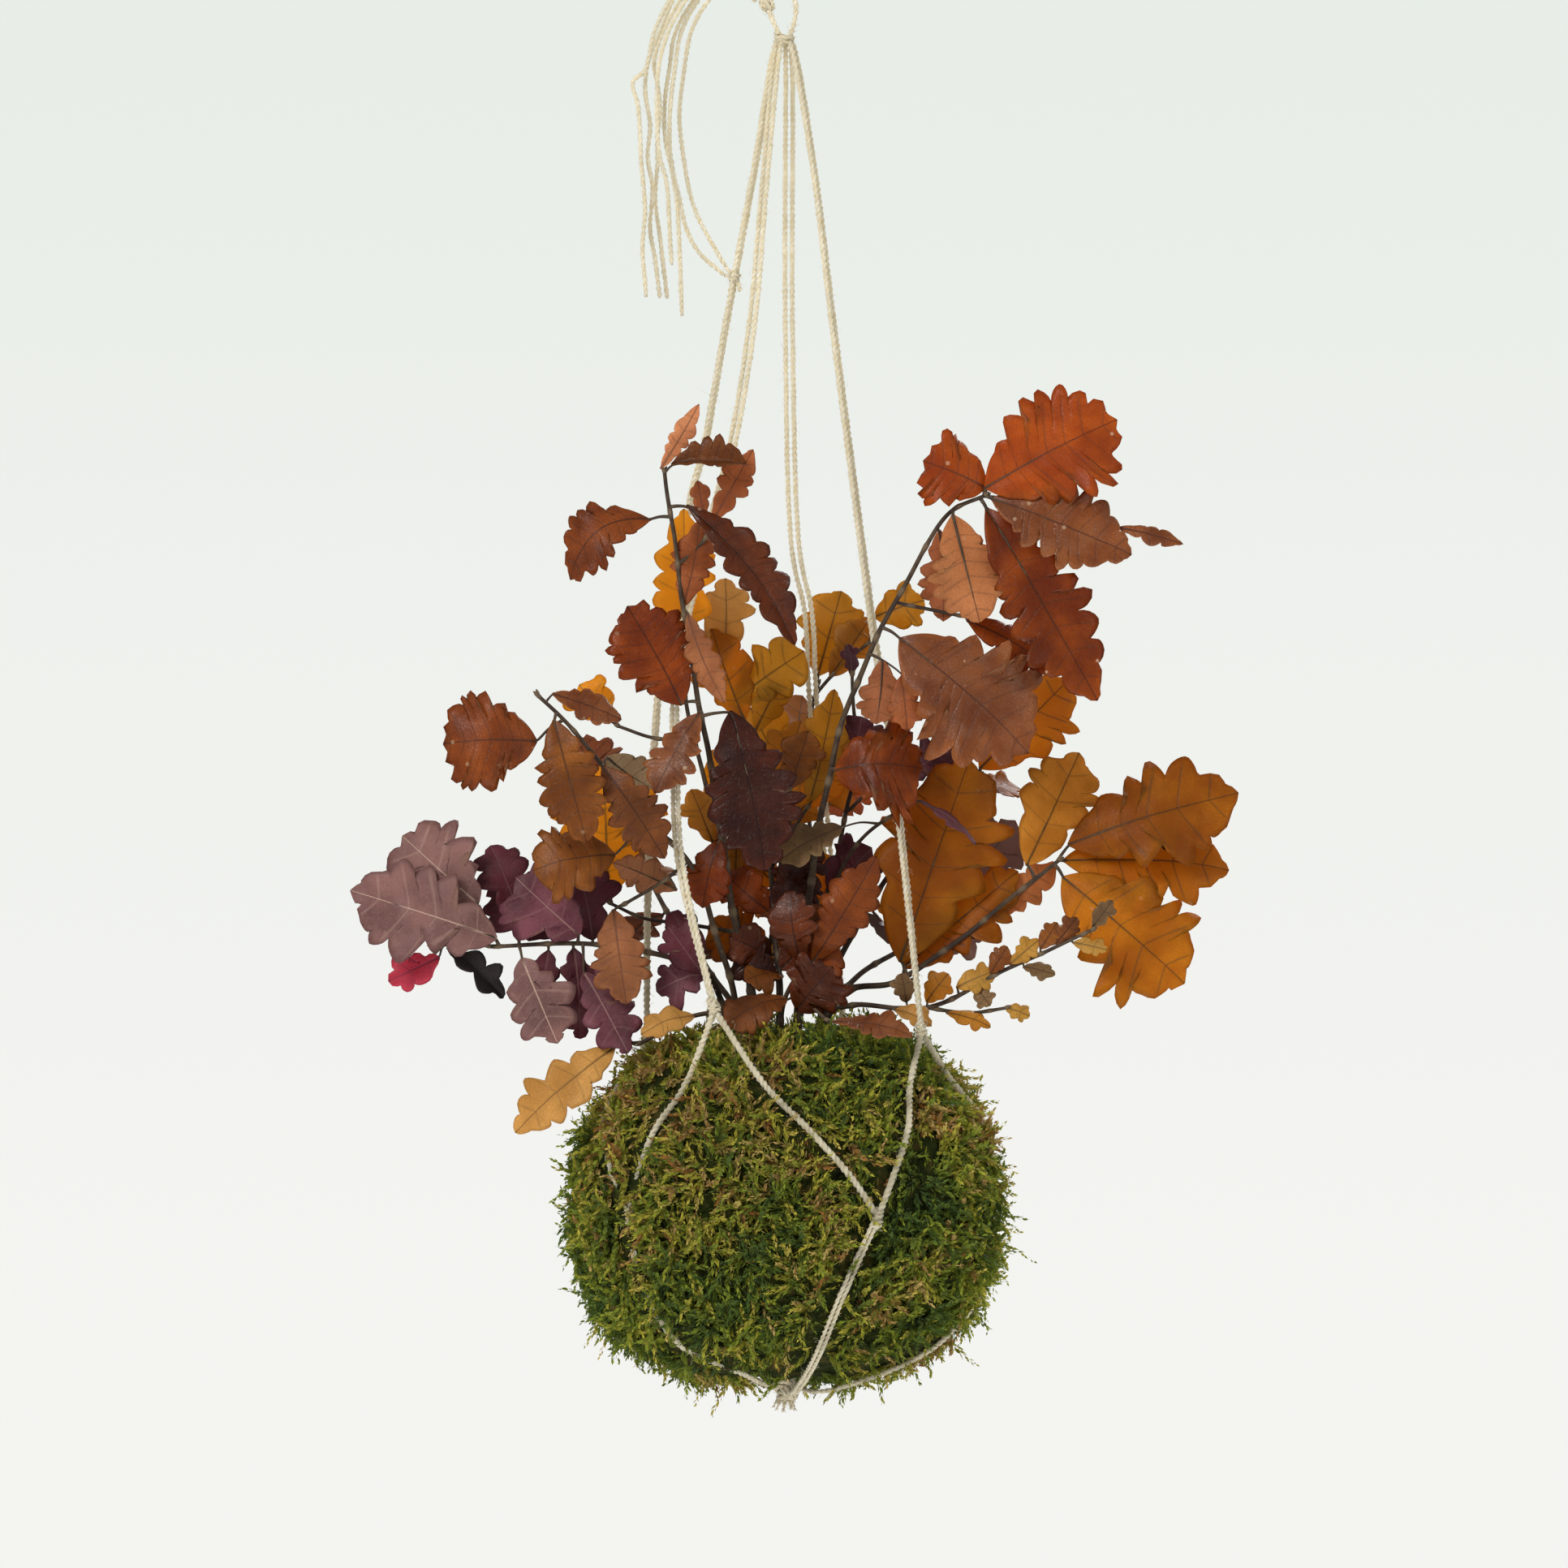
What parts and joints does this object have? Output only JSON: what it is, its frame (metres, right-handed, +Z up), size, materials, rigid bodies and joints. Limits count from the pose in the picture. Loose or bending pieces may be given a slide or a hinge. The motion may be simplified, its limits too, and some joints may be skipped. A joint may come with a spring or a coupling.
{
  "type": "hanging kokedama moss ball plant",
  "caption": "Moss ball with preserved oak branches in rust, ochre and plum, hung in a knotted net of cream twine from a loop.",
  "frame": {"origin": "where the hanging loop's twine bears on the hook, at the top of the part", "axes": "+Z up, the front of the picture is -Y, +X to the viewer's right"},
  "size_m": [0.3594, 0.2158, 0.6006],
  "materials": {
    "twine": "matt fuzzy cotton twine",
    "moss": "matt feathery moss",
    "soil": "matt damp peat",
    "rust_leaf": "satin preserved leaf",
    "brown_leaf": "satin preserved leaf",
    "ochre_leaf": "satin preserved leaf",
    "plum_leaf": "matt preserved leaf",
    "tan_leaf": "matt preserved leaf"
  },
  "bodies": {
    "root": {"moss_cover": "moss", "soil_core": "soil", "rust_branch_left": "rust_leaf", "rust_branch_arching": "rust_leaf", "rust_branch_right": "rust_leaf", "rust_branch_back": "rust_leaf", "rust_branch_back_left": "brown_leaf", "brown_leaves_low": "brown_leaf", "ochre_branch_right": "ochre_leaf", "ochre_branch_back_left": "ochre_leaf", "ochre_branch_centre": "ochre_leaf", "ochre_branch_back": "ochre_leaf", "ochre_branch_back_right": "ochre_leaf", "ochre_leaves_low": "ochre_leaf", "plum_branch_left": "plum_leaf", "plum_branch_centre": "plum_leaf", "plum_branch_back": "plum_leaf", "tan_twig_right": "tan_leaf", "leg_front_left": "twine", "leg_back_left": "twine", "leg_back_right": "twine", "leg_front_right": "twine", "net_front": "twine", "net_left": "twine", "net_right": "twine", "net_back": "twine", "bottom_knot": "twine", "hanging_loop": "twine", "tail_kinked": "twine", "tail_left_outer": "twine", "tail_left_inner": "twine", "tail_middle_short": "twine", "tail_middle_long": "twine", "tail_tied_left": "twine", "tail_tied_right": "twine"}
  },
  "joints": []
}
